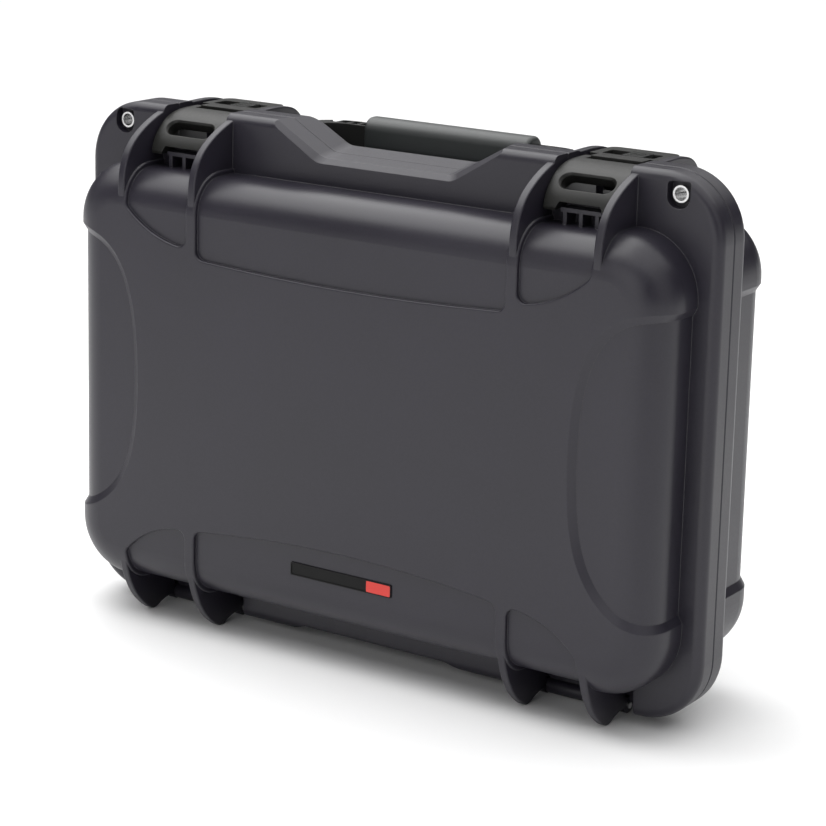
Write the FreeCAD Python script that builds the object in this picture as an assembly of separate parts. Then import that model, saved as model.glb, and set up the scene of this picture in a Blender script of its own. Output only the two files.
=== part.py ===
import FreeCAD
import Part
import math
import os

# A moulded hard case that stands on its hinge edge with the handle up.
# The lid faces -Y, the base +Y, and Y = 0 is the parting plane while the pieces are made.
# All lengths are in millimetres.

# Whole case
case_width = 475.0
case_height = 346.0
lid_depth = 58.0
base_depth = 86.0
wall = 3.5
overrun = 20.0
touch = 0.01

# Rim that both halves carry round their mouths
rim_depth = 17.0
rim_bottom = 6.0
rim_corner = 41.0
rim_edge_round = 6.0
rim_edge_chamfer = 0.8
rim_gap = 0.3
rim_rise = 4.5
rim_rise_side_gap = 66.0
rim_rise_slant = 13.0

# Tub that stands out of the rim, with panels recessed below its raised surface
tub_side_margin = 13.5
tub_top_margin = 35.0
tub_bottom_margin = 20.0
tub_corner = 40.0
tub_round = 26.0
panel_recess = 3.0
panel_corner = 6.0
panel_edge_round = 1.2
scoop_slope_width = 4.8
scoop_slope_depth = 2.9

# Side scoops of the tub, from the flank to the face and back
scoop_across_shares = (1.000, 0.936, 0.874, 0.820, 0.778, 0.753, 0.761, 0.790, 0.840, 0.894, 0.948, 1.000)
scoop_up_shares = (0.831, 0.829, 0.812, 0.772, 0.698, 0.536, 0.390, 0.299, 0.237, 0.203, 0.186, 0.182)

# Recessed bands between the ribs, as shares of the tub's height
top_band_middle_share = 0.797
top_band_end_share = 0.811
bottom_band_middle_share = 0.195
bottom_band_end_share = 0.168
latch_pocket_inner_share = 0.832
latch_pocket_middle_share = 0.852
latch_pocket_outer_share = 0.910
hinge_pocket_inner_share = 0.165
hinge_pocket_middle_share = 0.148
hinge_pocket_outer_share = 0.085

# Ribs beside the latches and hinges
rib_side_margin = 59.2
rib_spacing = 57.6
rib_thick = 5.5
rib_side_gap = 1.2
rib_top_drop = 0.5
rib_edge_round = 1.0
lid_rib_length = 85.0
lid_rib_depth_shares = (0.975, 0.99, 0.96, 0.85, 0.65, 0.42, 0.21, 0.00)
lid_rib_rise_shares = (0.00, 0.37, 0.58, 0.73, 0.845, 0.925, 0.972, 0.99)
base_rib_length = 64.0
base_rib_drop = 33.0
base_rib_depth_shares = (0.00, 0.15, 0.35, 0.65, 0.85, 0.95, 0.985, 1.00)
base_rib_drop_shares = (0.04, 0.015, 0.00, 0.02, 0.15, 0.38, 0.65, 1.00)

# Feet at the lower ends of the ribs
foot_rise = 70.0
lid_foot_depth_shares = (0.96, 0.975, 0.90, 0.75, 0.55, 0.43, 0.32, 0.20, 0.00)
lid_foot_rise_shares = (1.00, 0.66, 0.42, 0.20, 0.045, 0.00, 0.03, 0.06, 0.02)
base_foot_start = 20.0
base_foot_end = 62.0
base_foot_round = 10.0

# Hinges: lid ears, base barrel and pin
hinge_axis_height = 5.8
hinge_ear_radius = 5.3
hinge_barrel_radius = 4.8
hinge_pin_radius = 2.2
hinge_pin_overhang = 1.25
hinge_end_gap = 0.6
hinge_sweep_gap = 0.8
hinge_notch_margin = 12.0
hinge_notch_height = 17.0
running_clearance = 0.05

# Seal: groove and gasket in the lid, tongue on the base
seal_margin = 3.0
seal_groove_width = 3.6
seal_groove_depth = 5.0
gasket_thick = 3.5
tongue_width = 2.0
tongue_height = 1.3

# Padlock eyes in the upper corners
eye_side_margin = 29.5
eye_drop = 13.0
eye_recess_half = 7.6
eye_recess_above = 7.8
eye_recess_below = 8.4
eye_recess_depth = 7.0
eye_recess_top_round = 3.0
eye_recess_low_round = 7.0
bush_outer_radius = 5.2
bush_bore_radius = 4.0
bush_proud = 4.2

# Scoop in the rim behind which the handle lies
hand_scoop_side_gap = 43.0
hand_scoop_run = 29.0
hand_scoop_depth = 16.5
hand_scoop_fall = 5.0
hand_scoop_round = 14.0
hand_scoop_lip = 2.6
hand_scoop_lip_depth = 4.0

# Folding handle
handle_rim_gap = 8.0
handle_pivot_drop = 14.0
handle_side_gap = 14.0
handle_reach = 36.5
handle_thick = 8.0
handle_arm = 11.0
handle_bar = 13.0
handle_skirt = 10.5
handle_skirt_inset = 3.0
handle_skirt_start = 16.0
handle_bend_round = 30.0
handle_barrel_radius = 6.0
handle_pin_radius = 2.5
handle_lug_thick = 6.0
handle_lug_radius = 6.5
handle_gap = 0.5
handle_pocket_count = 4
handle_pocket_depth = 3.2
handle_pocket_rib = 2.2
grip_side_gap = 43.5
grip_wide = 19.0
grip_high = 25.5
grip_lift = -2.9
grip_round = 8.0
grip_end_round = 3.0

# Latches: notch in the rim, catch on the lid, claw, lever and slide lock
latch_rib_gap = 1.75
latch_floor_drop = 30.0
latch_catch_drop = 25.0
latch_catch_depth = 5.0
ledge_half = 14.0
ledge_drop = 27.7
ledge_thick = 2.6
ledge_reach = 11.0
tooth_count = 3
tooth_thick = 2.6
tooth_pitch = 11.0
tooth_height = 8.2
lever_pin_depth = 19.5
lever_pin_drop = 19.0
lever_pin_radius = 2.0
claw_pin_depth = 16.5
claw_pin_drop = 8.0
claw_pin_radius = 1.8
claw_reach = 31.0
claw_drop = 29.5
claw_top_drop = 3.0
claw_outer_reach_shares = (0.000, 0.179, 0.347, 0.493, 0.680, 0.836, 0.954, 1.000)
claw_outer_drop_shares = (0.00, 0.00, 0.012, 0.05, 0.175, 0.40, 0.684, 0.93)
claw_tip_reach_share = 0.983
claw_inner_reach_shares = (0.642, 0.535, 0.402)
claw_inner_drop_shares = (0.53, 0.36, 0.30)
claw_catch_gap = 0.4
claw_catch_height = 8.0
claw_ear_radius = 5.0
claw_ear_width = 6.0
claw_room = 10.0
claw_side_gap = 0.5
claw_notch_half = 17.0
claw_notch_height = 5.5
claw_notch_slant = 3.0
window_half = 18.0
window_width = 11.0
window_frame = 2.2
window_frame_depth = 1.8
window_reach_share = 0.808
window_drop_share = 0.345
window_tilt = 42.0
lever_top_drop = 2.0
lever_thick = 6.5
lever_front_reach = 4.0
lever_shoulder_reach = 6.2
lever_tail = 11.0
lever_end_round = 6.0
lever_lug_half = 9.0
lever_lug_radius = 4.5
lever_lug_thick = 5.0
lock_pocket_half = 18.0
lock_pocket_margin = 2.6
lock_pocket_length = 15.0
lock_pocket_depth = 4.5
lock_pocket_round = 2.5
lock_half = 7.0
lock_travel = 7.0
lock_side_gap = 0.3
lock_rib_count = 3
lock_rib_depth = 0.8
lock_proud = 0.4

# Pressure valve in the base's upper wall
valve_depth = 44.0
valve_flange_radius = 11.0
valve_flange_height = 3.0
valve_stem_radius = 6.0
valve_stem_length = 9.0
valve_cap_radius = 8.0
valve_cap_height = 2.6
valve_cap_bore = 3.0
valve_vent_count = 8
valve_vent_width = 1.6

# Plain nameplate on the lid
label_half = 38.9
label_arch_gap = 12.6
label_height = 8.6
label_thick = 0.9
label_border = 0.7
label_pocket = 0.4
label_split = 19.4
label_corner = 0.8

# Sizes that follow from those above
half_width = case_width / 2
tub_half = half_width - tub_side_margin
tub_low = rim_bottom + tub_bottom_margin
tub_high = case_height - tub_top_margin
tub_height = tub_high - tub_low
shell_inset = panel_recess + wall
rib_outer = half_width - rib_side_margin
rib_inner = rib_outer - rib_spacing
rib_places = (-rib_outer, -rib_inner, rib_inner, rib_outer)
parting_shift = (lid_depth - base_depth) / 2
hinge_pin_length = rib_spacing + rib_thick + hinge_pin_overhang + hinge_pin_overhang
eye_across = half_width - eye_side_margin
eye_height = case_height - eye_drop
bush_length = rim_depth - eye_recess_depth + bush_proud
hand_scoop_half = rib_inner - hand_scoop_side_gap
hand_scoop_floor_half = hand_scoop_half - hand_scoop_run
rim_rise_half = rib_inner - rim_rise_side_gap
handle_half = rib_inner - handle_side_gap
grip_half = handle_half - grip_side_gap
handle_pivot_depth = rim_depth + handle_rim_gap
handle_pivot_height = case_height - handle_pivot_drop
latch_across = rib_inner + rib_spacing / 2
latch_half = rib_spacing / 2 - rib_thick / 2 - latch_rib_gap
lever_front = claw_pin_depth - lever_front_reach
lever_shoulder = claw_pin_depth + lever_shoulder_reach
lock_pocket_start = lever_shoulder + lock_pocket_margin
lock_pocket_end = lock_pocket_start + lock_pocket_length
lever_end = lock_pocket_end + lever_tail
label_low = tub_low + bottom_band_middle_share * tub_height - label_arch_gap - label_height
LID = -1
BASE = 1


def flat(x, y):
    """A point in plan, at height 0."""
    return FreeCAD.Vector(x, y, 0)


def upright(x, z):
    """A point in the parting plane."""
    return FreeCAD.Vector(x, 0, z)


def sideways(y, z):
    """A point in the case's middle plane."""
    return FreeCAD.Vector(0, y, z)


def rounded_wire(corners, place):
    """Closed outline through corners (u, v, radius), each rounded by a tangent arc."""
    bends = []
    for index, (u, v, radius) in enumerate(corners):
        corner = FreeCAD.Vector(u, v, 0)
        last = corners[index - 1]
        following = corners[(index + 1) % len(corners)]
        back = (FreeCAD.Vector(last[0], last[1], 0) - corner).normalize()
        onward = (FreeCAD.Vector(following[0], following[1], 0) - corner).normalize()
        half_angle = back.getAngle(onward) / 2
        reach = radius / math.tan(half_angle)
        inward = (back + onward).normalize()
        middle = corner + inward * (radius / math.sin(half_angle) - radius)
        bends.append((corner + back * reach, middle, corner + onward * reach, radius))
    edges = []
    for index, (start, middle, end, radius) in enumerate(bends):
        if radius > 0:
            arc = Part.Arc(place(start.x, start.y), place(middle.x, middle.y), place(end.x, end.y))
            edges.append(arc.toShape())
        onward_start = bends[(index + 1) % len(bends)][0]
        if (onward_start - end).Length > touch:
            edges.append(Part.makeLine(place(end.x, end.y), place(onward_start.x, onward_start.y)))
    return Part.Wire(edges)


def curve_through(points):
    """Smooth edge through the points."""
    spline = Part.BSplineCurve()
    spline.interpolate(points)
    return spline.toShape()


def closed_by_lines(curve, points):
    """Face bounded by a curve and by straight lines from its end through the points to its start."""
    stops = [curve.valueAt(curve.LastParameter)] + points + [curve.valueAt(curve.FirstParameter)]
    lines = [Part.makeLine(stops[i], stops[i + 1]) for i in range(len(stops) - 1)]
    return Part.Face(Part.Wire([curve] + lines))


def arc_through(first, middle, last):
    """Edge on the arc through three points."""
    return Part.Arc(first, middle, last).toShape()


def slab(half, low, high, corner, start, end):
    """Upright plate with rounded corners, from one depth to another."""
    corners = [(-half, low, corner), (half, low, corner), (half, high, corner), (-half, high, corner)]
    face = Part.Face(rounded_wire(corners, upright))
    face.translate(FreeCAD.Vector(0, start, 0))
    return face.extrude(FreeCAD.Vector(0, end - start, 0))


def block(x0, x1, y0, y1, z0, z1):
    """Box between two corners."""
    return Part.makeBox(x1 - x0, y1 - y0, z1 - z0, FreeCAD.Vector(x0, y0, z0))


def rod(radius, x0, x1, y, z):
    """Cylinder along X."""
    return Part.makeCylinder(radius, x1 - x0, FreeCAD.Vector(x0, y, z), FreeCAD.Vector(1, 0, 0))


def spread(face, x0, x1):
    """A side profile drawn in the middle plane, stretched across from x0 to x1."""
    placed = face.copy()
    placed.translate(FreeCAD.Vector(x0, 0, 0))
    return placed.extrude(FreeCAD.Vector(x1 - x0, 0, 0))


def mirrored(shape):
    """The same shape on the case's other side."""
    return shape.mirror(FreeCAD.Vector(0, 0, 0), FreeCAD.Vector(1, 0, 0))


def edges_at_depth(shape, depth):
    """Edges that lie in an upright plane at this depth."""
    found = []
    for edge in shape.Edges:
        flat_ends = all(abs(vertex.Y - depth) < touch for vertex in edge.Vertexes)
        if flat_ends and abs(edge.CenterOfMass.y - depth) < touch:
            found.append(edge)
    return found


def tub(side, depth, inset, start):
    """Rounded tub of one half, drawn in by the inset on every side."""
    far = side * (depth - inset)
    body = slab(tub_half - inset, tub_low + inset, tub_high - inset, tub_corner - inset, start, far)
    return body.makeFillet(tub_round - inset, edges_at_depth(body, far))


def tub_level(share):
    """Height on the tub at a share of its own height."""
    return tub_low + share * tub_height


def scoop_face():
    """Outline of the recess on the right flank and beside it on the face."""
    points = [upright(across * tub_half, tub_level(up))
              for across, up in zip(scoop_across_shares, scoop_up_shares)]
    beyond = tub_half + overrun
    ends = [upright(beyond, points[-1].z), upright(beyond, points[0].z)]
    return closed_by_lines(curve_through(points), ends)


def band_face(half, end_share, middle_share, beyond):
    """Band between the inner ribs, bounded by a shallow arch."""
    end_level = tub_level(end_share)
    crown = upright(0, tub_level(middle_share))
    arch = arc_through(upright(-half, end_level), crown, upright(half, end_level))
    return closed_by_lines(arch, [upright(half, beyond), upright(-half, beyond)])


def pocket_face(inner_share, middle_share, outer_share, beyond):
    """Pocket between the two right-hand ribs, bounded by a slanting arch."""
    near = rib_inner + rib_thick / 2 + rib_side_gap
    far = rib_outer - rib_thick / 2 - rib_side_gap
    arch = arc_through(
        upright(near, tub_level(inner_share)),
        upright((near + far) / 2, tub_level(middle_share)),
        upright(far, tub_level(outer_share)))
    return closed_by_lines(arch, [upright(far, beyond), upright(near, beyond)])


def band_faces():
    """Outlines of the bands and pockets that lie between the ribs."""
    band_half = rib_inner - rib_thick / 2 - rib_side_gap
    above = tub_high + overrun
    below = tub_low - overrun
    paired = [
        pocket_face(latch_pocket_inner_share, latch_pocket_middle_share, latch_pocket_outer_share, above),
        pocket_face(hinge_pocket_inner_share, hinge_pocket_middle_share, hinge_pocket_outer_share, below)]
    single = [
        band_face(band_half, top_band_end_share, top_band_middle_share, above),
        band_face(band_half, bottom_band_end_share, bottom_band_middle_share, below)]
    return single + paired + [mirrored(face) for face in paired]


def band_cut(face, reach):
    """A band's outline pushed through the tub, with its two corners on the tub rounded."""
    prism = face.extrude(reach)
    corners = []
    for edge in prism.Edges:
        along = edge.valueAt(edge.LastParameter) - edge.valueAt(edge.FirstParameter)
        if abs(along.y) > touch and tub_low < edge.CenterOfMass.z < tub_high:
            corners.append(edge)
    return prism.makeFillet(panel_corner, corners)


def lies_on(point, shape):
    """Whether the point is on the shape's surface."""
    return Part.Vertex(point).distToShape(shape.Shells[0])[0] < touch


def crossing_edges(body, skin, cutters):
    """Edges of the body where the cutters break through the skin, away from the parting plane."""
    found = []
    for edge in body.Edges:
        middle = edge.valueAt((edge.FirstParameter + edge.LastParameter) / 2)
        if abs(middle.y) > touch and lies_on(middle, skin):
            if any(lies_on(middle, cutter) for cutter in cutters):
                found.append(edge)
    return found


def panelled_tub(side, depth):
    """Tub whose bands, pockets and scoops lie one step below its raised surface."""
    reach = FreeCAD.Vector(0, side * (depth + overrun), 0)
    skin = tub(side, depth, 0, 0)
    bands = [band_cut(face, reach) for face in band_faces()]
    raised = skin.cut(bands)
    raised = raised.makeFillet(panel_edge_round, crossing_edges(raised, skin, bands))
    for face in (scoop_face(), mirrored(scoop_face())):
        scoop = face.extrude(reach)
        raised = raised.cut(scoop)
        edges = crossing_edges(raised, skin, [scoop])
        raised = raised.makeChamfer(scoop_slope_width, scoop_slope_depth, edges)
    return tub(side, depth, panel_recess, 0).fuse(raised)


def rim(side):
    """Rim plate of one half, with its outer edges eased."""
    near = LID * rim_gap if side == LID else 0
    plate = slab(half_width, rim_bottom, case_height, rim_corner, near, side * rim_depth)
    plate = plate.makeFillet(rim_edge_round, edges_at_depth(plate, side * rim_depth))
    return plate.makeChamfer(rim_edge_chamfer, edges_at_depth(plate, near))


def lid_rib():
    """Side profile of a lid rib from the face over the top to the parting plane."""
    start = case_height - lid_rib_length
    rise = lid_rib_length - rib_top_drop
    points = [sideways(LID * depth * lid_depth, start + up * rise)
              for depth, up in zip(lid_rib_depth_shares, lid_rib_rise_shares)]
    points[-1] = sideways(LID * rim_gap, points[-1].z)
    inner = [sideways(LID * rim_gap, tub_high - tub_round), sideways(-rim_depth, start)]
    return closed_by_lines(curve_through(points), inner)


def base_rib():
    """Side profile of a base rib from the parting plane to its round rear end."""
    top = case_height - rib_top_drop
    points = [sideways(depth * base_rib_length, top - drop * base_rib_drop)
              for depth, drop in zip(base_rib_depth_shares, base_rib_drop_shares)]
    inner = tub_high - shell_inset - wall
    return closed_by_lines(curve_through(points), [sideways(points[-1].y, inner), sideways(0, inner)])


def lid_foot():
    """Side profile of a lid rib's lower end: foot, waist and the underside of the hinge ear."""
    points = [sideways(LID * depth * lid_depth, up * foot_rise)
              for depth, up in zip(lid_foot_depth_shares, lid_foot_rise_shares)]
    inner = [sideways(0, hinge_axis_height), sideways(-rim_depth, tub_low + shell_inset + wall)]
    return closed_by_lines(curve_through(points), inner)


def base_foot():
    """Side profile of a base rib's lower end, flat where the case stands on it."""
    inner = tub_low + shell_inset + wall
    corners = [
        (0, inner, 0),
        (0, rim_bottom, 0),
        (hinge_ear_radius + hinge_sweep_gap, rim_bottom, 0),
        (base_foot_start, 0, base_foot_round),
        (base_foot_end, 0, base_foot_round),
        (base_foot_end, inner, 0)]
    return Part.Face(rounded_wire(corners, sideways))


def blade(profile, place):
    """One rib: its side profile stretched to the rib's thickness, with eased outer edges."""
    plate = spread(profile, place - rib_thick / 2, place + rib_thick / 2)
    outer = [edge for edge in plate.Edges
             if edge.Curve.TypeId == "Part::GeomBSplineCurve" and edge.BoundBox.XLength < touch]
    return plate.makeFillet(rib_edge_round, outer) if outer else plate


def ribs(profiles):
    """The same side profiles repeated at the four rib places."""
    return [blade(profile, place) for place in rib_places for profile in profiles]


def seal_ring(offset, width, start, end):
    """Ring that follows the mouth of the case, offset outwards from it."""
    inset = shell_inset - offset
    rings = []
    for grow in (width, 0):
        drawn = inset - grow
        corner = tub_corner - drawn
        rings.append(slab(tub_half - drawn, tub_low + drawn, tub_high - drawn, corner, start, end))
    return rings[0].cut(rings[1])


def hand_scoop():
    """Cut in the top of the rim, whose floor falls towards the lid's face, with an eased front edge."""
    def outline(grow, lower):
        floor = case_height - hand_scoop_depth - lower
        top = case_height + overrun
        lean = (hand_scoop_half - hand_scoop_floor_half) / hand_scoop_depth
        mouth = hand_scoop_half + grow + lean * overrun
        floor_half = hand_scoop_floor_half + grow
        return [(-mouth, top, 0), (-floor_half, floor, hand_scoop_round),
                (floor_half, floor, hand_scoop_round), (mouth, top, 0)]

    span = rim_depth + rim_depth
    fall_rate = hand_scoop_fall / span
    length = span + overrun
    face = Part.Face(rounded_wire(outline(0, 0), upright))
    face.translate(FreeCAD.Vector(0, rim_depth + overrun / 2, fall_rate * overrun / 2))
    trough = face.extrude(FreeCAD.Vector(0, -length, -fall_rate * length))
    wires = []
    for grow, depth in ((0, -rim_depth + hand_scoop_lip_depth), (hand_scoop_lip, -rim_depth - touch)):
        wire = rounded_wire(outline(grow, grow), upright)
        wire.translate(FreeCAD.Vector(0, depth, fall_rate * (depth - rim_depth)))
        wires.append(wire)
    return trough.fuse(Part.makeLoft(wires, True, True))


def rim_rise_cut():
    """Shallow raised stretch in the middle of the rim's lower edge."""
    low = rim_bottom - overrun
    high = rim_bottom + rim_rise
    foot_half = rim_rise_half + rim_rise_slant + rim_rise_slant * overrun / rim_rise
    corners = [
        (-rim_rise_half, high, rim_rise),
        (rim_rise_half, high, rim_rise),
        (foot_half, low, 0),
        (-foot_half, low, 0)]
    face = Part.Face(rounded_wire(corners, upright))
    face.translate(FreeCAD.Vector(0, -rim_depth - overrun, 0))
    depth = rim_depth + overrun
    return face.extrude(FreeCAD.Vector(0, depth + depth, 0))


def eye_cuts(side):
    """Recess and hole of each padlock eye."""
    corners = [
        (-eye_recess_half, eye_height - eye_recess_below, eye_recess_low_round),
        (eye_recess_half, eye_height - eye_recess_below, eye_recess_low_round),
        (eye_recess_half, eye_height + eye_recess_above, eye_recess_top_round),
        (-eye_recess_half, eye_height + eye_recess_above, eye_recess_top_round)]
    recess = Part.Face(rounded_wire(corners, upright))
    recess.translate(FreeCAD.Vector(eye_across, side * (rim_depth - eye_recess_depth), 0))
    recess = recess.extrude(FreeCAD.Vector(0, side * (eye_recess_depth + overrun), 0))
    hole = eye_cylinder(side, bush_outer_radius, -overrun, rim_depth + overrun)
    return [recess, hole, mirrored(recess), mirrored(hole)]


def eye_cylinder(side, radius, start, end):
    """Cylinder on the right-hand padlock eye's axis between two depths of one half."""
    foot = FreeCAD.Vector(eye_across, side * start, eye_height)
    return Part.makeCylinder(radius, end - start, foot, FreeCAD.Vector(0, side, 0))


def padlock_bushes(side):
    """Pair of steel eyes of one half."""
    near = rim_gap if side == LID else 0
    outer = eye_cylinder(side, bush_outer_radius, near, bush_length)
    bush = outer.cut(eye_cylinder(side, bush_bore_radius, -overrun, bush_length + overrun))
    return Part.makeCompound([bush, mirrored(bush)])


def latch_notch(side):
    """Notch between the ribs of one latch, in which the claw lies."""
    inner = rib_spacing / 2 - rib_thick / 2
    floor = case_height - latch_floor_drop
    far = rim_depth + overrun
    low, high = (-far, far) if side == BASE else (-rim_depth + latch_catch_depth, far)
    cut = block(latch_across - inner, latch_across + inner, low, high, floor, case_height + overrun)
    if side == BASE:
        return cut
    catch_top = case_height - latch_catch_drop
    above = block(latch_across - inner, latch_across + inner, -far, far, catch_top, case_height + overrun)
    return cut.fuse(above)


def latch_catch():
    """Ledge and teeth on the lid's rim below the claw."""
    top = case_height - ledge_drop
    low = top - ledge_thick
    front = -rim_depth - ledge_reach
    back = -rim_depth + ledge_thick
    pieces = [block(latch_across - ledge_half, latch_across + ledge_half, front, back, low, top)]
    first = latch_across - tooth_pitch * (tooth_count - 1) / 2
    for index in range(tooth_count):
        start = first + index * tooth_pitch - tooth_thick / 2
        pieces.append(block(start, start + tooth_thick, front, back, low - tooth_height, top))
    return pieces


def lid_shell():
    """Moulded lid."""
    notch_low = rib_inner - rib_thick / 2 - hinge_notch_margin
    notch_high = rib_outer + rib_thick / 2 + hinge_notch_margin
    hinge_notch = block(notch_low, notch_high, -rim_depth - overrun, overrun,
                        rim_bottom - overrun, rim_bottom + hinge_notch_height)
    cuts = [hinge_notch, mirrored(hinge_notch), latch_notch(LID), mirrored(latch_notch(LID)),
            hand_scoop(), rim_rise_cut()]
    plate = rim(LID).cut(cuts)
    catches = latch_catch()
    ears = [rod(hinge_ear_radius, place - rib_thick / 2, place + rib_thick / 2, 0, hinge_axis_height)
            for place in rib_places]
    body = panelled_tub(LID, lid_depth).fuse(
        [plate] + ribs([lid_rib(), lid_foot()]) + ears + catches + [mirrored(catch) for catch in catches])
    cavity = tub(LID, lid_depth, shell_inset, overrun)
    groove = seal_ring(seal_margin, seal_groove_width, LID * seal_groove_depth, overrun)
    bore = hinge_pin_radius + running_clearance
    bores = [rod(bore, -half_width, half_width, 0, hinge_axis_height)]
    return body.cut([cavity, groove] + bores + eye_cuts(LID)).removeSplitter()


def handle_lugs():
    """Pairs of lugs on the base that hold the handle's pins."""
    near = rim_depth - wall
    far = handle_pivot_depth + handle_lug_radius
    foot = tub_high - shell_inset
    top = handle_pivot_height + handle_lug_radius
    outline = [(near, foot, 0), (far, foot, 0), (far, top, handle_lug_radius - touch), (near, top, 0)]
    profile = Part.Face(rounded_wire(outline, sideways))
    outer = handle_half + handle_gap
    inner = handle_half - handle_arm - handle_gap
    lugs = [
        spread(profile, outer, outer + handle_lug_thick),
        spread(profile, inner - handle_lug_thick, inner)]
    return lugs + [mirrored(lug) for lug in lugs]


def lever_lugs():
    """Pairs of lugs on the base that hold the right-hand lever's pin."""
    height = case_height - lever_pin_drop
    radius = lever_lug_thick
    outline = [
        (lever_pin_depth - radius, tub_high, 0),
        (lever_pin_depth + radius, tub_high, 0),
        (lever_pin_depth + radius, height + radius, radius - touch),
        (lever_pin_depth - radius, height + radius, radius - touch)]
    profile = Part.Face(rounded_wire(outline, sideways))
    near = lever_lug_half + claw_side_gap
    far = near + lever_lug_thick
    return [spread(profile, latch_across - far, latch_across - near),
            spread(profile, latch_across + near, latch_across + far)]


def base_shell():
    """Moulded base."""
    cuts = [latch_notch(BASE), mirrored(latch_notch(BASE)), hand_scoop(), rim_rise_cut()]
    plate = rim(BASE).cut(cuts)
    barrel_near = rib_inner + rib_thick / 2 + hinge_end_gap
    barrel_far = rib_outer - rib_thick / 2 - hinge_end_gap
    barrel = rod(hinge_barrel_radius, barrel_near, barrel_far, 0, hinge_axis_height)
    lugs = lever_lugs()
    tongue_offset = seal_margin + (seal_groove_width - tongue_width) / 2
    tongue = seal_ring(tongue_offset, tongue_width, LID * tongue_height, wall)
    body = panelled_tub(BASE, base_depth).fuse(
        [plate] + ribs([base_rib(), base_foot()]) + handle_lugs() + lugs + [mirrored(lug) for lug in lugs])
    sweep = hinge_ear_radius + hinge_sweep_gap
    reach = rib_thick / 2 + hinge_end_gap
    sweeps = [rod(sweep, place - reach, place + reach, 0, hinge_axis_height) for place in rib_places]
    cavity = tub(BASE, base_depth, shell_inset, -overrun)
    valve_hole = valve_cylinder(valve_stem_radius, tub_low + tub_height / 2, tub_height)
    body = body.cut([cavity, valve_hole] + sweeps + eye_cuts(BASE))
    body = body.fuse([barrel, mirrored(barrel), tongue])
    lever_bore = rod(lever_pin_radius, latch_across - latch_half, latch_across + latch_half,
                     lever_pin_depth, case_height - lever_pin_drop)
    bores = [
        rod(hinge_pin_radius, -half_width, half_width, 0, hinge_axis_height),
        rod(handle_pin_radius, -half_width, half_width, handle_pivot_depth, handle_pivot_height),
        lever_bore,
        mirrored(lever_bore)]
    return body.cut(bores).removeSplitter()


def gasket():
    """Seal at the bottom of the lid's groove."""
    floor = LID * seal_groove_depth
    return seal_ring(seal_margin, seal_groove_width, floor, floor + gasket_thick)


def hinge_pin():
    """Right-hand hinge pin."""
    middle = (rib_inner + rib_outer) / 2
    reach = hinge_pin_length / 2
    return rod(hinge_pin_radius, middle - reach, middle + reach, 0, hinge_axis_height)


def handle_frame():
    """Handle bar with its arms, barrels and ribbed ends, folded down behind the rim."""
    pivot = handle_pivot_depth
    far = pivot + handle_reach + handle_bar / 2
    near = far - handle_bar
    inner = handle_half - handle_arm
    outline = [
        (-handle_half, pivot, 0), (-inner, pivot, 0),
        (-inner, near, handle_bend_round - handle_arm), (inner, near, handle_bend_round - handle_arm),
        (inner, pivot, 0), (handle_half, pivot, 0),
        (handle_half, far, handle_bend_round), (-handle_half, far, handle_bend_round)]
    low = handle_pivot_height - handle_thick / 2
    face = Part.Face(rounded_wire(outline, flat))
    face.translate(FreeCAD.Vector(0, 0, low))
    body = face.extrude(FreeCAD.Vector(0, 0, handle_thick))
    barrel = rod(handle_barrel_radius, inner, handle_half, pivot, handle_pivot_height)
    skirt = face.extrude(FreeCAD.Vector(0, 0, -handle_skirt))
    skirt = skirt.common(block(-half_width, half_width, pivot + handle_skirt_start, far + overrun,
                               low - handle_skirt, low + handle_thick))
    grip_room = [block(-grip_half, grip_half, start, start + handle_skirt_inset, low - handle_skirt, low)
                 for start in (near, far - handle_skirt_inset)]
    body = body.fuse([skirt.cut(grip_room), barrel, mirrored(barrel)])
    pocket_room = inner - grip_half
    pitch = pocket_room / handle_pocket_count
    pockets = []
    for index in range(handle_pocket_count):
        start = grip_half + index * pitch + handle_pocket_rib / 2
        pockets.append(block(start, start + pitch - handle_pocket_rib,
                             near + handle_pocket_rib, far - handle_pocket_rib,
                             low + handle_thick - handle_pocket_depth, low + handle_thick + overrun))
    bore = rod(handle_pin_radius + running_clearance, -half_width, half_width, pivot, handle_pivot_height)
    return body.cut(pockets + [mirrored(pocket) for pocket in pockets] + [bore]).removeSplitter()


def handle_grip(frame):
    """Soft grip moulded round the handle bar."""
    depth = handle_pivot_depth + handle_reach
    height = handle_pivot_height + grip_lift
    corners = [(depth - grip_wide / 2, height - grip_high / 2, grip_round),
               (depth + grip_wide / 2, height - grip_high / 2, grip_round),
               (depth + grip_wide / 2, height + grip_high / 2, grip_round),
               (depth - grip_wide / 2, height + grip_high / 2, grip_round)]
    grip = spread(Part.Face(rounded_wire(corners, sideways)), -grip_half, grip_half)
    ends = [edge for edge in grip.Edges
            if all(abs(abs(vertex.X) - grip_half) < touch for vertex in edge.Vertexes)
            and abs(abs(edge.CenterOfMass.x) - grip_half) < touch]
    return grip.makeFillet(grip_end_round, ends).cut(frame)


def handle_pin():
    """Right-hand handle pin through both lugs and the barrel between them."""
    near = handle_half - handle_arm - handle_gap - handle_lug_thick
    far = handle_half + handle_gap + handle_lug_thick
    return rod(handle_pin_radius, near, far, handle_pivot_depth, handle_pivot_height)


def claw_place(reach_share, drop_share):
    """Point of the claw's side profile, from its pin towards the tip."""
    span = claw_pin_depth + claw_reach
    fall = claw_drop - claw_top_drop
    return sideways(claw_pin_depth - reach_share * span, case_height - claw_top_drop - drop_share * fall)


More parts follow.
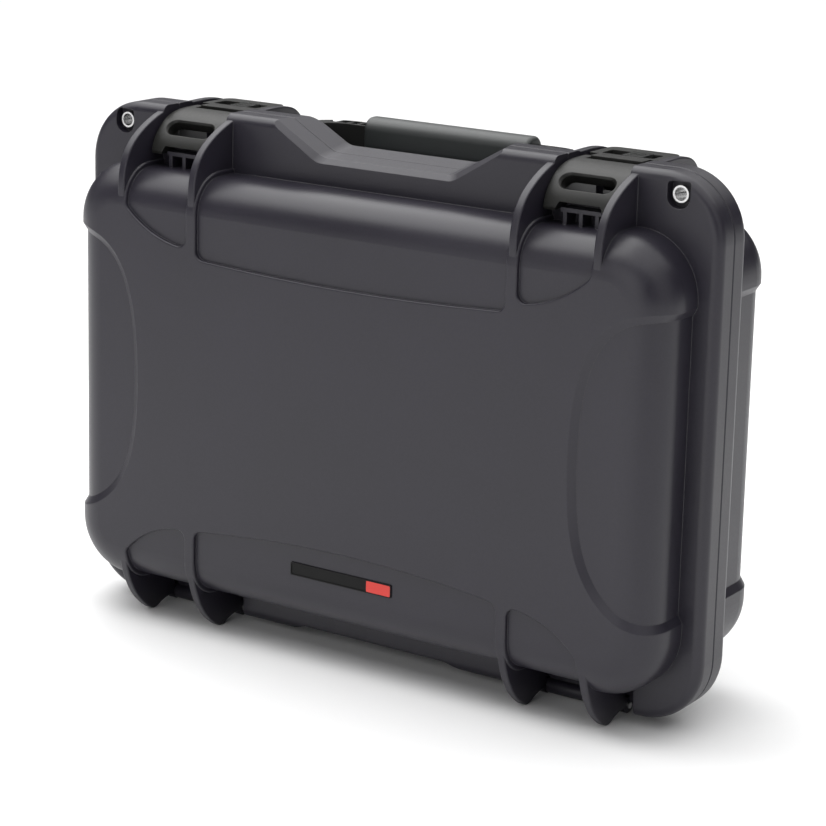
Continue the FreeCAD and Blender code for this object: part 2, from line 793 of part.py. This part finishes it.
def latch_claw():
    """Claw of a latch in the middle plane: curved plate with window, hooked tip and two ears."""
    outer = curve_through([claw_place(reach, drop)
                           for reach, drop in zip(claw_outer_reach_shares, claw_outer_drop_shares)])
    tip = claw_place(claw_tip_reach_share, 1)
    hook = -rim_depth - claw_catch_gap
    inner = [claw_place(reach, drop) for reach, drop in zip(claw_inner_reach_shares, claw_inner_drop_shares)]
    pin_height = case_height - claw_pin_drop
    under_pin = sideways(claw_pin_depth, pin_height - claw_ear_radius)
    path = [tip, sideways(hook, tip.z), sideways(hook, tip.z + claw_catch_height)] + inner + [under_pin]
    plate = spread(closed_by_lines(outer, path), -latch_half, latch_half)
    ear = rod(claw_ear_radius, -latch_half, latch_half, claw_pin_depth, pin_height)
    inside = latch_half - claw_ear_width
    room = block(-inside, inside, claw_pin_depth - claw_room, claw_pin_depth + overrun,
                 case_height - claw_drop, case_height + overrun)
    notch_outline = [
        (-claw_notch_half, tip.z - overrun, 0), (claw_notch_half, tip.z - overrun, 0),
        (claw_notch_half, tip.z, 0), (claw_notch_half - claw_notch_slant, tip.z + claw_notch_height, 0),
        (-claw_notch_half + claw_notch_slant, tip.z + claw_notch_height, 0), (-claw_notch_half, tip.z, 0)]
    notch = Part.Face(rounded_wire(notch_outline, upright))
    notch.translate(FreeCAD.Vector(0, hook + touch, 0))
    notch = notch.extrude(FreeCAD.Vector(0, -claw_reach, 0))
    bore = rod(claw_pin_radius, -latch_half, latch_half, claw_pin_depth, pin_height)
    return plate.fuse(ear).cut([room, notch, bore] + claw_window()).removeSplitter()


def claw_window():
    """Oval window through the claw's sloping front, and the bevel round it."""
    centre = claw_place(window_reach_share, window_drop_share)
    tilt = math.radians(window_tilt)
    outward = FreeCAD.Vector(0, -math.sin(tilt), math.cos(tilt))
    up = FreeCAD.Vector(0, math.cos(tilt), math.sin(tilt))

    def stadium(grow, lift):
        half = window_half + grow
        high = window_width / 2 + grow
        corners = [(-half, -high, high - touch), (half, -high, high - touch),
                   (half, high, high - touch), (-half, high, high - touch)]
        base = centre + outward * lift
        return rounded_wire(corners, lambda u, v: base + FreeCAD.Vector(u, 0, 0) + up * v)

    through = Part.Face(stadium(0, -window_width)).extrude(outward * (window_width + window_width))
    rims = [stadium(0, -window_frame_depth), stadium(window_frame, window_frame_depth / 2)]
    return [through, Part.makeLoft(rims, True, True)]


def latch_lever():
    """Lever of a latch in the middle plane: plate with a pocket, a front bar and a lug."""
    top = case_height - lever_top_drop
    low = top - lever_thick
    front_half = latch_half - claw_ear_width - claw_side_gap
    outline = [
        (-front_half, lever_front, 0), (front_half, lever_front, 0),
        (front_half, lever_shoulder, 0), (latch_half, lever_shoulder, 0),
        (latch_half, lever_end, lever_end_round), (-latch_half, lever_end, lever_end_round),
        (-latch_half, lever_shoulder, 0), (-front_half, lever_shoulder, 0)]
    face = Part.Face(rounded_wire(outline, flat))
    face.translate(FreeCAD.Vector(0, 0, low))
    plate = face.extrude(FreeCAD.Vector(0, 0, lever_thick))
    pin_height = case_height - lever_pin_drop
    lug_outline = [
        (lever_pin_depth - lever_lug_radius, pin_height, 0),
        (lever_pin_depth + lever_lug_radius, pin_height, 0),
        (lever_shoulder, low + lever_thick / 2, 0),
        (lever_front, low + lever_thick / 2, 0),
        (lever_front, low, 0)]
    web = spread(Part.Face(rounded_wire(lug_outline, sideways)), -lever_lug_half, lever_lug_half)
    boss = rod(lever_lug_radius, -lever_lug_half, lever_lug_half, lever_pin_depth, pin_height)
    pocket_outline = [
        (-lock_pocket_half, lock_pocket_start, lock_pocket_round),
        (lock_pocket_half, lock_pocket_start, lock_pocket_round),
        (lock_pocket_half, lock_pocket_end, lock_pocket_round),
        (-lock_pocket_half, lock_pocket_end, lock_pocket_round)]
    pocket = Part.Face(rounded_wire(pocket_outline, flat))
    pocket.translate(FreeCAD.Vector(0, 0, top - lock_pocket_depth))
    pocket = pocket.extrude(FreeCAD.Vector(0, 0, lock_pocket_depth + overrun))
    lever_bore = lever_pin_radius + running_clearance
    claw_bore = claw_pin_radius + running_clearance
    bores = [
        rod(lever_bore, -latch_half, latch_half, lever_pin_depth, pin_height),
        rod(claw_bore, -latch_half, latch_half, claw_pin_depth, case_height - claw_pin_drop)]
    return plate.fuse([web, boss]).cut([pocket] + bores).removeSplitter()


def slide_lock():
    """Sliding button in the lever's pocket, at its locked end."""
    low = case_height - lever_top_drop - lock_pocket_depth
    top = case_height - lever_top_drop + lock_proud
    middle = lock_travel / 2
    near = lock_pocket_start + lock_side_gap
    far = lock_pocket_end - lock_side_gap
    button = block(middle - lock_half, middle + lock_half, near, far, low, top)
    pitch = (lock_half + lock_half) / (lock_rib_count + 1)
    grooves = []
    for index in range(lock_rib_count):
        start = middle - lock_half + (index + 1) * pitch - lock_rib_depth / 2
        end = start + lock_rib_depth
        grooves.append(block(start, end, near + wall, far - wall, top - lock_rib_depth, top + overrun))
    return button.cut(grooves)


def lever_pin():
    """Pin of a lever in the middle plane, held in the base's lugs."""
    reach = lever_lug_half + claw_side_gap + lever_lug_thick
    return rod(lever_pin_radius, -reach, reach, lever_pin_depth, case_height - lever_pin_drop)


def claw_pin():
    """Pin of a claw in the middle plane, held in the claw's ears."""
    return rod(claw_pin_radius, -latch_half, latch_half, claw_pin_depth, case_height - claw_pin_drop)


def valve_cylinder(radius, foot, height):
    """Cylinder on the valve's upright axis."""
    return Part.makeCylinder(radius, height, FreeCAD.Vector(0, valve_depth, foot))


def valve_body():
    """Valve stem through the base's upper wall, with its flange."""
    seat = tub_high - panel_recess
    stem = valve_cylinder(valve_stem_radius, seat - valve_stem_length, valve_stem_length)
    flange = valve_cylinder(valve_flange_radius, seat, valve_flange_height)
    vents = []
    for index in range(valve_vent_count):
        vent = block(valve_cap_radius, valve_flange_radius + overrun, valve_depth - valve_vent_width / 2,
                     valve_depth + valve_vent_width / 2, seat + valve_flange_height / 2, seat + overrun)
        vents.append(vent.rotate(FreeCAD.Vector(0, valve_depth, 0), FreeCAD.Vector(0, 0, 1),
                                 index * 360 / valve_vent_count))
    bore = valve_cylinder(valve_cap_bore, seat - valve_stem_length, valve_stem_length)
    return stem.fuse(flange).cut(vents + [bore]).removeSplitter()


def valve_cap():
    """Domed cap on the valve's flange."""
    seat = tub_high - panel_recess + valve_flange_height
    cap = valve_cylinder(valve_cap_radius, seat, valve_cap_height)
    crown = [edge for edge in cap.Edges if abs(edge.CenterOfMass.z - seat - valve_cap_height) < touch]
    return cap.makeFillet(valve_cap_height / 2, crown)


def label_block(x0, x1, inset, near, far):
    """Flat rounded plate on the lid's lower band."""
    corners = [(x0 + inset, label_low + inset, label_corner), (x1 - inset, label_low + inset, label_corner),
               (x1 - inset, label_low + label_height - inset, label_corner),
               (x0 + inset, label_low + label_height - inset, label_corner)]
    face = Part.Face(rounded_wire(corners, upright))
    seat = -lid_depth + panel_recess
    face.translate(FreeCAD.Vector(0, seat - near, 0))
    return face.extrude(FreeCAD.Vector(0, near - far, 0))


def label_plate():
    """Nameplate with a thin raised border."""
    plate = label_block(-label_half, label_half, 0, 0, label_thick)
    floor = label_thick - label_pocket
    return plate.cut(label_block(-label_half, label_half, label_border, floor, label_thick + overrun))


def label_panel():
    """Coloured end of the nameplate, let into its border."""
    return label_block(label_split, label_half, label_border, label_thick - label_pocket, label_thick)


def save(name, shape):
    """Move the piece so that the case's middle is the origin, and write it."""
    placed = shape.copy()
    placed.translate(FreeCAD.Vector(0, parting_shift, 0))
    placed.exportStep("parts/" + name + ".step")


def save_pair(name, right):
    """Write a right-hand piece and its mirror image."""
    save(name + "_right", right)
    save(name + "_left", mirrored(right))


def save_latch_pair(name, shape):
    """Write a latch piece at both latches."""
    for side, across in (("_left", -latch_across), ("_right", latch_across)):
        placed = shape.copy()
        placed.translate(FreeCAD.Vector(across, 0, 0))
        save(name + side, placed)


os.makedirs("parts", exist_ok=True)
save("lid_shell", lid_shell())
save("base_shell", base_shell())
save("gasket", gasket())
save_pair("hinge_pin", hinge_pin())
frame = handle_frame()
save("handle_frame", frame)
save("handle_grip", handle_grip(frame))
save_pair("handle_pin", handle_pin())
save("lid_padlock_bushes", padlock_bushes(LID))
save("base_padlock_bushes", padlock_bushes(BASE))
save_latch_pair("latch_claw", latch_claw())
save_latch_pair("latch_lever", latch_lever())
save_latch_pair("slide_lock", slide_lock())
save_latch_pair("lever_pin", lever_pin())
save_latch_pair("claw_pin", claw_pin())
save("valve_body", valve_body())
save("valve_cap", valve_cap())
save("label_plate", label_plate())
save("label_panel", label_panel())
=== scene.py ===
"""Looks of a moulded hard case with two latches, a hinged lid and a folding handle, in metres."""

import math

import bpy
from mathutils import Matrix, Vector


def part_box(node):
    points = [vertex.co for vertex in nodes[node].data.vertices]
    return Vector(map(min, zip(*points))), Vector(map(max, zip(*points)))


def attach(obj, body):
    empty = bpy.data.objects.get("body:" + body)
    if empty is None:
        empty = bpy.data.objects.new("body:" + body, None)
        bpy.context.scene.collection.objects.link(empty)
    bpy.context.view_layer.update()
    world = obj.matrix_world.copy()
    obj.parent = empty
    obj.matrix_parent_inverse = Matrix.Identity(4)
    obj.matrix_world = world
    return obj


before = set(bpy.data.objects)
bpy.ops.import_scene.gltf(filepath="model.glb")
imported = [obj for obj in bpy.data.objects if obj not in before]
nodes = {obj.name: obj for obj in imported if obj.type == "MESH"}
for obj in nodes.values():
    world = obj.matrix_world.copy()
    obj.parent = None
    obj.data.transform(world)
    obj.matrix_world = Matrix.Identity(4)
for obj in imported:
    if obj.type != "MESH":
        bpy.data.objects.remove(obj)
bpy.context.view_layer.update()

# Base half of the case.
# An injection-moulded tub of charcoal resin with a satin, finely grained skin; it carries the hinge
# barrels, the lugs of the latches and handle, and the feet that the case stands on.


class Tone:
    """One output of a material's node tree. Sums and products of tones add Math nodes."""

    def __init__(self, tree, socket):
        self.tree = tree
        self.socket = socket

    def add(self, kind, settings=None, inputs=None, output=0):
        """Adds a node: its settings first, then the values or links of its sockets."""
        node = self.tree.nodes.new(kind)
        for name, value in (settings or {}).items():
            setattr(node, name, value)
        for name, value in (inputs or {}).items():
            if isinstance(value, Tone):
                self.tree.links.new(value.socket, node.inputs[name])
            else:
                node.inputs[name].default_value = value
        return Tone(self.tree, node.outputs[output])

    def math(self, operation, first, second):
        return self.add("ShaderNodeMath", {"operation": operation}, {0: first, 1: second})

    def __add__(self, other):
        return self.math("ADD", self, other)

    def __radd__(self, other):
        return self.math("ADD", other, self)

    def __sub__(self, other):
        return self.math("SUBTRACT", self, other)

    def __rsub__(self, other):
        return self.math("SUBTRACT", other, self)

    def __mul__(self, other):
        return self.math("MULTIPLY", self, other)

    def __rmul__(self, other):
        return self.math("MULTIPLY", other, self)

    def noise(self, waves, detail=2.0, rough=0.5):
        """Soft random pattern with this many waves to the metre."""
        inputs = {"Vector": self, "Scale": waves, "Detail": detail, "Roughness": rough}
        return self.add("ShaderNodeTexNoise", None, inputs)

    def between(self, low, high):
        """The tone spread from low..high to 0..1."""
        inputs = {"Value": self, "From Min": low, "From Max": high}
        return self.add("ShaderNodeMapRange", None, inputs)

    def blend(self, first, second):
        """Mix of two colours by this tone, on the Mix node's colour sockets."""
        colour_a, colour_b, colour_result = 6, 7, 2
        inputs = {"Factor": self, colour_a: first, colour_b: second}
        return self.add("ShaderNodeMix", {"data_type": "RGBA"}, inputs, colour_result)

    def dot(self, other):
        """How far two directions agree: 1 where they are the same."""
        return self.add("ShaderNodeVectorMath", {"operation": "DOT_PRODUCT"},
                        {0: self, 1: other}, "Value")

    def bump(self, strength, distance, normal=None):
        """Surface normal raised by this tone."""
        inputs = {"Height": self, "Strength": strength, "Distance": distance}
        if normal:
            inputs["Normal"] = normal
        return self.add("ShaderNodeBump", None, inputs)


def new_finish(name):
    """A material, its object coordinates as a tone and its shader."""
    material = bpy.data.materials.new(name)
    material.use_nodes = True
    tree = material.node_tree
    shader = next(node for node in tree.nodes if node.type == "BSDF_PRINCIPLED")
    place = Tone(tree, None).add("ShaderNodeTexCoord", output="Object")
    return material, place, shader


def feed(shader, **inputs):
    """Sets or links the shader's sockets, named with _ for a space."""
    for name, value in inputs.items():
        socket = shader.inputs[name.replace("_", " ").title().replace("Ior", "IOR")]
        if isinstance(value, Tone):
            value.tree.links.new(value.socket, socket)
        else:
            socket.default_value = value


def dress(material, *names):
    """Gives the nodes a finish."""
    for name in names:
        slots = nodes[name].data.materials
        slots.clear()
        slots.append(material)


def grey(level, red=1.0, green=1.0, blue=1.0):
    """Colour of this level with a slight tint."""
    return (level * red, level * green, level * blue, 1.0)


cloud_waves, cloud_detail, cloud_limits = 9.0, 3.0, (0.3, 0.7)
speck_waves, speck_detail, speck_rough, speck_limits = 700.0, 3.0, 0.6, (0.35, 0.65)
cloud_share, speck_share = 0.55, 0.45
cloud_dulling, speck_dulling = 0.05, 0.06
grain_detail, grain_rough, grain_strength = 2.0, 0.55, 0.25
edge_samples = 6
# Eased edges are painted paler: a painted highlight along convex and concave edges, with some wear.
edge_wear_and_highlight_limits = (0.02, 0.25)
wear_and_highlight_everywhere, wear_and_highlight_in_specks = 0.4, 0.5
mid_tone = 0.5


def moulded(name, dark, light, worn_and_highlit, rough, grain_waves, grain_depth, edge, gloss=0.5):
    """Satin moulded plastic: fine grain, faint flow clouds and eased edges painted paler, a painted
    edge highlight with some wear.
    """
    material, place, shader = new_finish(name)
    cloud = place.noise(cloud_waves, cloud_detail).between(*cloud_limits)
    speck = place.noise(speck_waves, speck_detail, speck_rough).between(*speck_limits)
    mottle = cloud * cloud_share + speck * speck_share
    grain = place.noise(grain_waves, grain_detail, grain_rough)
    eased = place.add("ShaderNodeBevel", {"samples": edge_samples}, {"Radius": edge})
    facing = place.add("ShaderNodeNewGeometry", output="Normal")
    turned = 1.0 - eased.dot(facing)
    # Painted highlight: the worn colour lightens every eased edge, concave ones too, standing for
    # light caught on the edges as well as for wear.
    edge_wear_and_highlight = turned.between(*edge_wear_and_highlight_limits) * (wear_and_highlight_everywhere + speck * wear_and_highlight_in_specks)
    dulling = (speck - mid_tone) * speck_dulling + (cloud - mid_tone) * cloud_dulling
    feed(shader,
         base_color=edge_wear_and_highlight.blend(mottle.blend(dark, light), worn_and_highlit),
         specular_ior_level=gloss,
         roughness=rough + dulling,
         normal=grain.bump(grain_strength, grain_depth, eased))
    return material


# The worn colours below are painted edge highlights as well as wear.
resin_tint = (1.12, 1.0, 1.5)
worn_and_highlit_resin_tint = (1.02, 1.0, 1.06)
charcoal_resin = moulded(
    "charcoal_resin",
    dark=grey(0.012, *resin_tint),
    light=grey(0.018, *resin_tint),
    worn_and_highlit=grey(0.085, *worn_and_highlit_resin_tint),
    rough=0.37, gloss=0.45, edge=0.0007,
    grain_waves=2600.0, grain_depth=0.00012)
dress(charcoal_resin, "base_shell")

# Lid half.
# The same resin as the base, moulded as a shallower tub with ribs, latch catches and hinge ears.
dress(charcoal_resin, "lid_shell")

# Seal.
# A foamed rubber cord pressed into the lid's groove, dull and slightly porous.
seal_rubber, place, shader = new_finish("seal_rubber")
pore_waves, pore_rough, pore_limits = 1900.0, 0.6, (0.35, 0.7)
pore_strength, pore_depth = 0.5, 0.0002
seal_dark, seal_light = grey(0.012), grey(0.026)
seal_dullness, pore_sheen = 0.80, 0.08
pores = place.noise(pore_waves, rough=pore_rough).between(*pore_limits)
feed(shader,
     base_color=pores.blend(seal_dark, seal_light),
     roughness=seal_dullness - pores * pore_sheen,
     normal=pores.bump(pore_strength, pore_depth))
dress(seal_rubber, "gasket")

# Hinge, handle, lever and claw pins.
# Plain drawn steel rods, cut to length; fine draw lines run along them.
drawn_steel, place, shader = new_finish("drawn_steel")
waves_along, waves_across = 40.0, 1400.0
line_strength, line_depth = 0.1, 0.0001
pin_dark, pin_light = grey(0.42), grey(0.58)
pin_dullness, line_dulling = 0.26, 0.12
stretch = (waves_along, waves_across, waves_across)
stretched = place.add("ShaderNodeMapping", None, {"Vector": place, "Scale": stretch})
lines = stretched.noise(1.0)
feed(shader,
     base_color=lines.blend(pin_dark, pin_light),
     metallic=1.0,
     roughness=pin_dullness + lines * line_dulling,
     normal=lines.bump(line_strength, line_depth))
dress(drawn_steel, "hinge_pin_left", "hinge_pin_right", "handle_pin_left", "handle_pin_right",
      "lever_pin_left", "lever_pin_right", "claw_pin_left", "claw_pin_right")

# Padlock eyes.
# Turned stainless sleeves pressed into the two upper corners of each half.
turned_steel, place, shader = new_finish("turned_steel")
turning_waves = 1500.0
eye_dark, eye_light = grey(0.60), grey(0.74)
eye_dullness, turning_dulling = 0.18, 0.12
turning = place.noise(turning_waves)
feed(shader,
     base_color=turning.blend(eye_dark, eye_light),
     metallic=1.0,
     roughness=eye_dullness + turning * turning_dulling)
dress(turned_steel, "lid_padlock_bushes", "base_padlock_bushes")

# Pressure valve.
# A small vented fitting of black nylon with a domed cap, pressed into the base's upper wall.
valve_nylon = moulded(
    "valve_nylon",
    dark=grey(0.016),
    light=grey(0.024),
    worn_and_highlit=grey(0.04),
    rough=0.5, edge=0.0004,
    grain_waves=3200.0, grain_depth=0.0001)
dress(valve_nylon, "valve_body", "valve_cap")

# Folding handle.
# A bar of glass-filled nylon that turns on two pins, with a soft grip moulded round its middle.
handle_tint = (0.98, 1.0, 0.95)
worn_and_highlit_handle_tint = (0.99, 1.0, 0.97)
handle_nylon = moulded(
    "handle_nylon",
    dark=grey(0.011, *handle_tint),
    light=grey(0.015, *handle_tint),
    worn_and_highlit=grey(0.05, *worn_and_highlit_handle_tint),
    rough=0.44, gloss=0.35, edge=0.0008,
    grain_waves=2200.0, grain_depth=0.00014)
dress(handle_nylon, "handle_frame")
grip_tint = (0.82, 1.0, 1.0)
worn_and_highlit_grip_tint = (0.92, 1.0, 1.0)
grip_rubber = moulded(
    "grip_rubber",
    dark=grey(0.016, *grip_tint),
    light=grey(0.022, *grip_tint),
    worn_and_highlit=grey(0.06, *worn_and_highlit_grip_tint),
    rough=0.50, gloss=0.82, edge=0.001,
    grain_waves=1700.0, grain_depth=0.00016)
dress(grip_rubber, "handle_grip")

# Latches.
# Each has a lever, a claw that hooks over the lid's rim and a sliding button, all of dark nylon.
latch_tint = (1.0, 1.0, 0.92)
worn_and_highlit_latch_tint = (1.0, 1.0, 0.95)
latch_nylon = moulded(
    "latch_nylon",
    dark=grey(0.011, *latch_tint),
    light=grey(0.015, *latch_tint),
    worn_and_highlit=grey(0.06, *worn_and_highlit_latch_tint),
    rough=0.42, gloss=0.32, edge=0.0008,
    grain_waves=2200.0, grain_depth=0.00014)
dress(latch_nylon, "latch_lever_left", "latch_lever_right", "latch_claw_left", "latch_claw_right")
button_tint = (0.97, 1.0, 0.97)
button_nylon = moulded(
    "button_nylon",
    dark=grey(0.034, *button_tint),
    light=grey(0.044, *button_tint),
    worn_and_highlit=grey(0.08),
    rough=0.24, edge=0.0006,
    grain_waves=1500.0, grain_depth=0.00005)
dress(button_nylon, "slide_lock_left", "slide_lock_right")

# Nameplate.
# A thin black plate with a raised border and a plain red end, both left without words.
film_waves, film_strength, film_depth = 2400.0, 0.12, 0.00005
plate_dullness, film_dulling = 0.36, 0.08


def film_plate(name, dark, light, gloss=0.5):
    """Smooth printed plate with a faint film texture."""
    material, place, shader = new_finish(name)
    film = place.noise(film_waves)
    feed(shader,
         base_color=film.blend(dark, light),
         specular_ior_level=gloss,
         roughness=plate_dullness + film * film_dulling,
         normal=film.bump(film_strength, film_depth))
    return material


plate_black = film_plate("plate_black", grey(0.005), grey(0.009), gloss=0.15)
dress(plate_black, "label_plate")
deep_red, bright_red = (0.60, 0.030, 0.022, 1.0), (0.68, 0.042, 0.030, 1.0)
plate_red = film_plate("plate_red", deep_red, bright_red)
dress(plate_red, "label_panel")

# Floor and light.
# A sheet of white paper under a wide overhead diffuser and soft boxes; the backdrop gives no light.
# Its front leaf drops as the lid opens, and the low box, hidden until then, lights the leaf.
floor_paper, place, shader = new_finish("floor_paper")
paper_waves, paper_dullness = 3.0, 0.7
paper_dark, paper_light = grey(0.94), grey(0.96)
feed(shader,
     base_color=place.noise(paper_waves).blend(paper_dark, paper_light),
     roughness=paper_dullness)
floor_reach = 12.0
leaf_gap = 0.009
hinge_low, hinge_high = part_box("hinge_pin_left")
fold = (hinge_low[1] + hinge_high[1]) / 2 - leaf_gap


def floor_sheet(name, front, back):
    """Flat sheet on the ground between two distances along Y."""
    corners = [(-floor_reach, front, 0), (floor_reach, front, 0),
               (floor_reach, back, 0), (-floor_reach, back, 0)]
    mesh = bpy.data.meshes.new(name)
    mesh.from_pydata(corners, [], [(0, 1, 2, 3)])
    mesh.materials.append(floor_paper)
    sheet = bpy.data.objects.new(name, mesh)
    bpy.context.scene.collection.objects.link(sheet)
    return sheet


floor_sheet("floor", fold, floor_reach)
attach(floor_sheet("floor_leaf", -floor_reach, fold), "lid")

world = bpy.data.worlds.new("studio")
bpy.context.scene.world = world
world.use_nodes = True
backdrop = world.node_tree.nodes["Background"]
backdrop.inputs["Color"].default_value = grey(1.0)
backdrop.inputs["Strength"].default_value = 1.0
world.cycles_visibility.diffuse = False
world.cycles_visibility.glossy = False


def soft_box(name, place, aim, wide, high, power):
    """Rectangular area light at a place, aimed at a point."""
    data = bpy.data.lights.new(name, "AREA")
    data.shape = "RECTANGLE"
    data.size = wide
    data.size_y = high
    data.energy = power
    lamp = bpy.data.objects.new(name, data)
    lamp.location = place
    lamp.rotation_mode = "QUATERNION"
    lamp.rotation_quaternion = (Vector(aim) - Vector(place)).to_track_quat("-Z", "Y")
    bpy.context.scene.collection.objects.link(lamp)


case_middle = (0, 0, 0.2)
soft_box("diffuser", (-2.0, 2.5, 5.0), aim=(-2.0, 2.5, 0), wide=14.0, high=14.0, power=980.0)
soft_box("soft_box_top", (-0.6, 0, 1.8), aim=case_middle, wide=2.0, high=1.6, power=22.0)
soft_box("soft_box_front", (0, -2.4, 1.0), aim=(0, 0, 0.15), wide=2.4, high=1.6, power=17.0)
soft_box("soft_box_right", (2.0, -0.4, 1.0), aim=case_middle, wide=1.6, high=1.6, power=5.0)
soft_box("soft_box_left", (-2.0, -0.6, 1.0), aim=case_middle, wide=1.6, high=1.6, power=1.5)
soft_box("soft_box_low", (0, -2.6, -1.2), aim=(0, 0, -0.3), wide=4.0, high=1.6, power=90.0)

# Camera.
# It stands at the photograph's angle, found from pairs of mirrored features; a small downward shift
# frames the case as the photograph does.
picture_side = 826.0
lens_pixels = 2650.8
sensor_width = 36.0
downward_shift = -0.1
azimuth = math.radians(33.361)
elevation = math.radians(13.339)
roll = math.radians(1.386)
distance = 1.6859
target = Vector((0.01414, -0.014, 0.21944))
to_camera = Vector((math.sin(azimuth) * math.cos(elevation),
                    -math.cos(azimuth) * math.cos(elevation),
                    math.sin(elevation)))
camera_data = bpy.data.cameras.new("camera")
camera_data.sensor_width = sensor_width
camera_data.lens = lens_pixels / picture_side * sensor_width
camera_data.shift_y = downward_shift
camera = bpy.data.objects.new("camera", camera_data)
bpy.context.scene.collection.objects.link(camera)
camera.matrix_world = (Matrix.Translation(target + to_camera * distance)
                       @ (-to_camera).to_track_quat("-Z", "Y").to_matrix().to_4x4()
                       @ Matrix.Rotation(roll, 4, "Z"))
bpy.context.scene.camera = camera
bpy.context.scene.view_settings.view_transform = "Standard"
